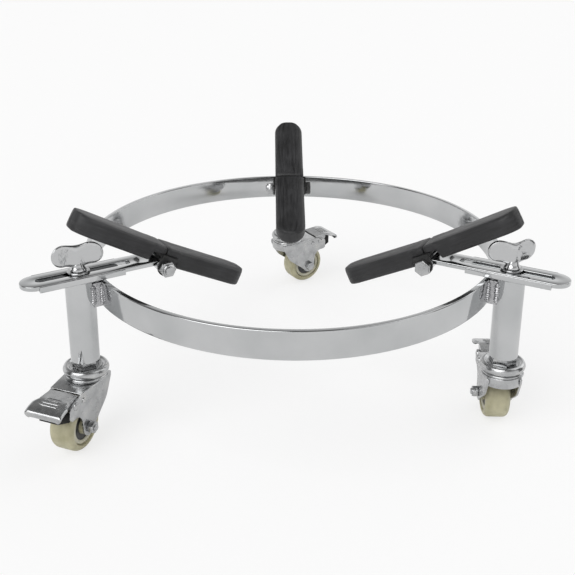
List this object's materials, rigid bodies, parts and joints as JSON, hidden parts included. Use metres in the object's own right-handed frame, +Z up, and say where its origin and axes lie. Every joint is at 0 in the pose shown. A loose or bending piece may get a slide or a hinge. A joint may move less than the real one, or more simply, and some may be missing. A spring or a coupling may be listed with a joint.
{
  "type": "rolling conga cradle stand",
  "caption": "Rolling drum cradle: chromed ring on tube legs with braked casters, sliding clamped arms and tilting rubber pads.",
  "frame": {"origin": "middle of the footprint, on the floor under the casters", "axes": "+Z up, +X to the right of the picture's view, -Y towards its camera, one leg at +Y"},
  "size_m": [0.459, 0.4708, 0.2161],
  "materials": {
    "chrome": "polished chrome plate",
    "cast_chrome": "satin chrome over casting",
    "zinc": "bright zinc plate",
    "black_zinc": "black zinc plate",
    "black_steel": "black satin",
    "pad_rubber": "semi-matt",
    "nylon": "cream nylon",
    "brake_rubber": "matt"
  },
  "bodies": {
    "base": {"ring": "chrome", "leg_tube_1": "chrome", "ring_spacer_1": "chrome", "arm_guide_1": "chrome", "caster_stem_1": "zinc", "upper_race_1": "zinc", "leg_tube_2": "chrome", "ring_spacer_2": "chrome", "arm_guide_2": "chrome", "caster_stem_2": "zinc", "upper_race_2": "zinc", "leg_tube_3": "chrome", "ring_spacer_3": "chrome", "arm_guide_3": "chrome", "caster_stem_3": "zinc", "upper_race_3": "zinc"},
    "arm_1": {"slide_arm_1": "chrome"},
    "wing_1": {"wing_bolt_1": "cast_chrome", "clamp_washer_1": "zinc"},
    "pad_1": {"pad_core_1": "black_steel", "outer_pad_1": "pad_rubber", "inner_pad_1": "pad_rubber", "pivot_bolt_1": "black_zinc", "pivot_nut_1": "zinc"},
    "swivel_1": {"fork_1": "zinc", "axle_bolt_1": "zinc", "axle_nut_1": "zinc"},
    "roller_1": {"wheel_1": "nylon"},
    "brake_1": {"brake_pedal_1": "zinc", "brake_shoe_1": "brake_rubber"},
    "arm_2": {"slide_arm_2": "chrome"},
    "wing_2": {"wing_bolt_2": "cast_chrome", "clamp_washer_2": "zinc"},
    "pad_2": {"pad_core_2": "black_steel", "outer_pad_2": "pad_rubber", "inner_pad_2": "pad_rubber", "pivot_bolt_2": "black_zinc", "pivot_nut_2": "zinc"},
    "swivel_2": {"fork_2": "zinc", "axle_bolt_2": "zinc", "axle_nut_2": "zinc"},
    "roller_2": {"wheel_2": "nylon"},
    "brake_2": {"brake_pedal_2": "zinc", "brake_shoe_2": "brake_rubber"},
    "arm_3": {"slide_arm_3": "chrome"},
    "wing_3": {"wing_bolt_3": "cast_chrome", "clamp_washer_3": "zinc"},
    "pad_3": {"pad_core_3": "black_steel", "outer_pad_3": "pad_rubber", "inner_pad_3": "pad_rubber", "pivot_bolt_3": "black_zinc", "pivot_nut_3": "zinc"},
    "swivel_3": {"fork_3": "zinc", "axle_bolt_3": "zinc", "axle_nut_3": "zinc"},
    "roller_3": {"wheel_3": "nylon"},
    "brake_3": {"brake_pedal_3": "zinc", "brake_shoe_3": "brake_rubber"}
  },
  "joints": [
    {"name": "arm_slide_1", "type": "slide", "parent": "base", "child": "arm_1", "axis": [0, 1, 0], "range_m": [-0.031, 0.001]},
    {"name": "wing_turn_1", "type": "hinge", "parent": "base", "child": "wing_1", "pos_m": [0, 0.17984, 0.15373], "axis": [0, 0, 1], "range_deg": [0, 360]},
    {"name": "pad_tilt_1", "type": "hinge", "parent": "arm_1", "child": "pad_1", "pos_m": [0, 0.10794, 0.15573], "axis": [1, 0, 0], "range_deg": [-1, 25]},
    {"name": "caster_swivel_1", "type": "hinge", "parent": "base", "child": "swivel_1", "pos_m": [0, 0.18371, 0.06261], "axis": [0, -0.0424, 0.9991], "continuous": true},
    {"name": "wheel_roll_1", "type": "hinge", "parent": "swivel_1", "child": "roller_1", "pos_m": [0.02013, 0.19838, 0.0252], "axis": [-0.5446, 0.8379, 0.0356], "continuous": true},
    {"name": "brake_tilt_1", "type": "hinge", "parent": "swivel_1", "child": "brake_1", "pos_m": [0.03522, 0.20685, 0.05679], "axis": [0.5446, -0.8379, -0.0356], "range_deg": [0, 15]},
    {"name": "arm_slide_2", "type": "slide", "parent": "base", "child": "arm_2", "axis": [-0.866, -0.5, 0], "range_m": [-0.031, 0.001]},
    {"name": "wing_turn_2", "type": "hinge", "parent": "base", "child": "wing_2", "pos_m": [-0.18498, -0.14056, 0.15373], "axis": [0, 0, 1], "range_deg": [0, 360]},
    {"name": "pad_tilt_2", "type": "hinge", "parent": "arm_2", "child": "pad_2", "pos_m": [-0.12272, -0.10461, 0.15573], "axis": [-0.5, 0.866, 0], "range_deg": [-1, 25]},
    {"name": "caster_swivel_2", "type": "hinge", "parent": "base", "child": "swivel_2", "pos_m": [-0.18833, -0.14249, 0.06261], "axis": [0.0367, 0.0212, 0.9991], "continuous": true},
    {"name": "wheel_roll_2", "type": "hinge", "parent": "swivel_2", "child": "roller_2", "pos_m": [-0.19792, -0.16584, 0.02542], "axis": [0.9392, -0.3423, -0.0273], "continuous": true},
    {"name": "brake_tilt_2", "type": "hinge", "parent": "swivel_2", "child": "brake_2", "pos_m": [-0.20292, -0.18209, 0.05718], "axis": [-0.9392, 0.3423, 0.0273], "range_deg": [0, 15]},
    {"name": "arm_slide_3", "type": "slide", "parent": "base", "child": "arm_3", "axis": [0.866, -0.5, 0], "range_m": [-0.031, 0.001]},
    {"name": "wing_turn_3", "type": "hinge", "parent": "base", "child": "wing_3", "pos_m": [0.18498, -0.14056, 0.15373], "axis": [0, 0, 1], "range_deg": [0, 360]},
    {"name": "pad_tilt_3", "type": "hinge", "parent": "arm_3", "child": "pad_3", "pos_m": [0.12272, -0.10461, 0.15573], "axis": [-0.5, -0.866, 0], "range_deg": [-1, 25]},
    {"name": "caster_swivel_3", "type": "hinge", "parent": "base", "child": "swivel_3", "pos_m": [0.18833, -0.14249, 0.06261], "axis": [-0.0367, 0.0212, 0.9991], "continuous": true},
    {"name": "wheel_roll_3", "type": "hinge", "parent": "swivel_3", "child": "roller_3", "pos_m": [0.19224, -0.11943, 0.02423], "axis": [-0.9938, 0.1041, -0.0387], "continuous": true},
    {"name": "brake_tilt_3", "type": "hinge", "parent": "swivel_3", "child": "brake_3", "pos_m": [0.19298, -0.10087, 0.05509], "axis": [0.9938, -0.1041, 0.0387], "range_deg": [0, 15]}
  ]
}
